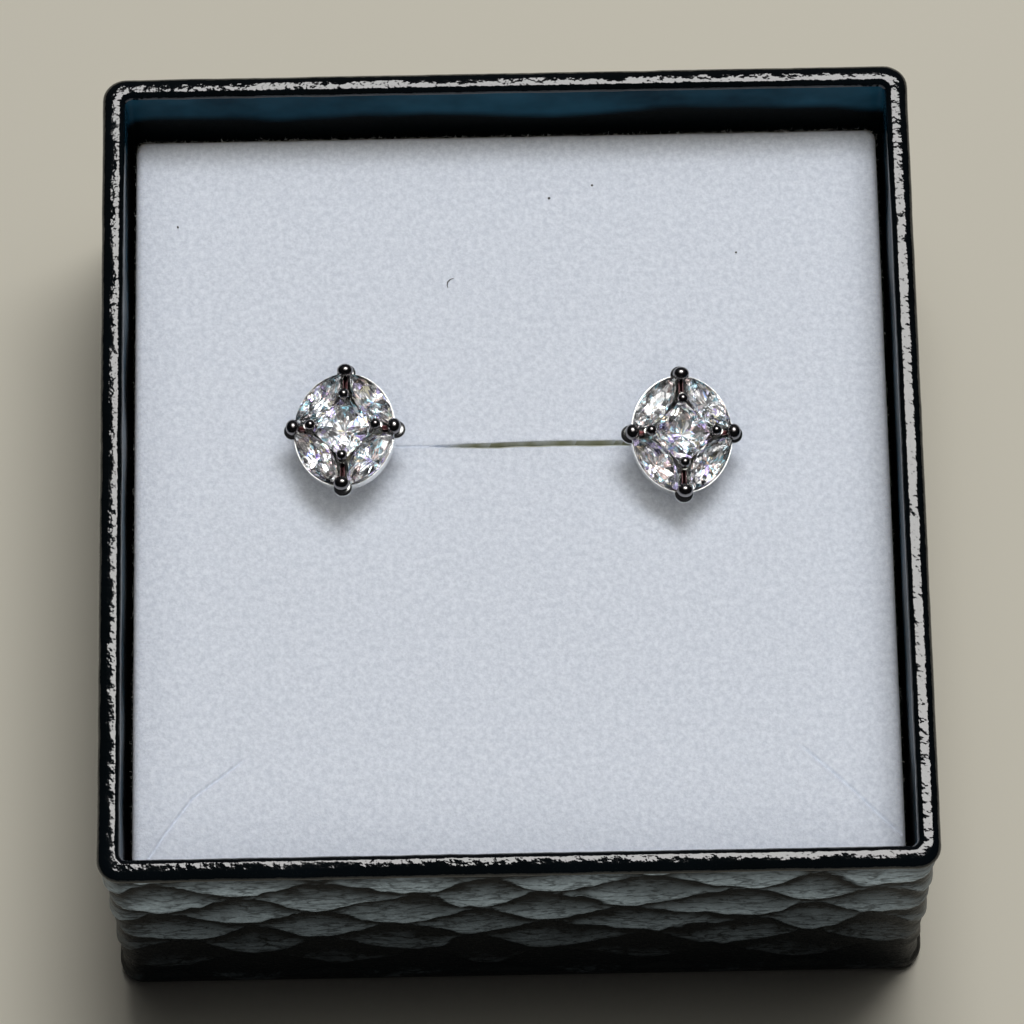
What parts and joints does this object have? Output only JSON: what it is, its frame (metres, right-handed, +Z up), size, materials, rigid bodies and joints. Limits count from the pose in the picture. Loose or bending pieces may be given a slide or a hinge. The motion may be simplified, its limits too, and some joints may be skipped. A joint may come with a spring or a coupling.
{
  "type": "stud earrings in a gift box",
  "caption": "Prong-set stud earrings, each a round cluster of cut stones on a post, held by the flocked foam pad of an open leather-covered gift box base.",
  "frame": {"origin": "middle of the box tray's underside, on the surface it stands on", "axes": "+X to the right across the pair of studs, +Y to the back of the box, +Z up out of the tray"},
  "size_m": [0.052, 0.0542, 0.023],
  "materials": {
    "leather_paper": "black embossed leather paper, satin on the outside and glossy at the rim and inside",
    "foam": "white flocked foam, matt",
    "silver": "polished silver",
    "crystal": "clear cut stone, polished"
  },
  "bodies": {
    "root": {"box_tray": "leather_paper", "pad": "foam", "left_setting": "silver", "left_centre_stone": "crystal", "left_marquise_1": "crystal", "left_marquise_2": "crystal", "left_marquise_3": "crystal", "left_marquise_4": "crystal", "left_ear_nut": "silver", "right_setting": "silver", "right_centre_stone": "crystal", "right_marquise_1": "crystal", "right_marquise_2": "crystal", "right_marquise_3": "crystal", "right_marquise_4": "crystal", "right_ear_nut": "silver"}
  },
  "joints": []
}
